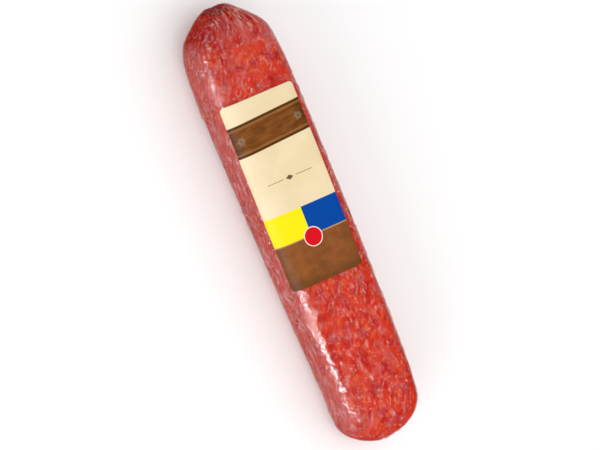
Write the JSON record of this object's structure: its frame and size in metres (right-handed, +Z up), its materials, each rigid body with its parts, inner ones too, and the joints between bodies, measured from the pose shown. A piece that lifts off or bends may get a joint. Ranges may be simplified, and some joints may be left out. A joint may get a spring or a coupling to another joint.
{
  "type": "cured sausage",
  "caption": "Pressed four-sided cured sausage in a clear shrink-film bag, gathered and clipped at one end, with a plain printed label on its front face.",
  "frame": {"origin": "middle of the underside, on which the sausage lies", "axes": "+Y along the sausage towards the gathered and clipped end of the bag, +Z up out of the labelled front face, +X across it"},
  "size_m": [0.0518, 0.264, 0.043],
  "materials": {
    "meat": "moist, fine-grained, speckled",
    "clear_film": "clear and glossy, finely crinkled",
    "clip_metal": "satin",
    "label_paper": "semi-matt printed"
  },
  "bodies": {
    "root": {"sausage_meat": "meat", "shrink_bag": "clear_film", "bag_clip": "clip_metal", "front_label": "label_paper"}
  },
  "joints": []
}
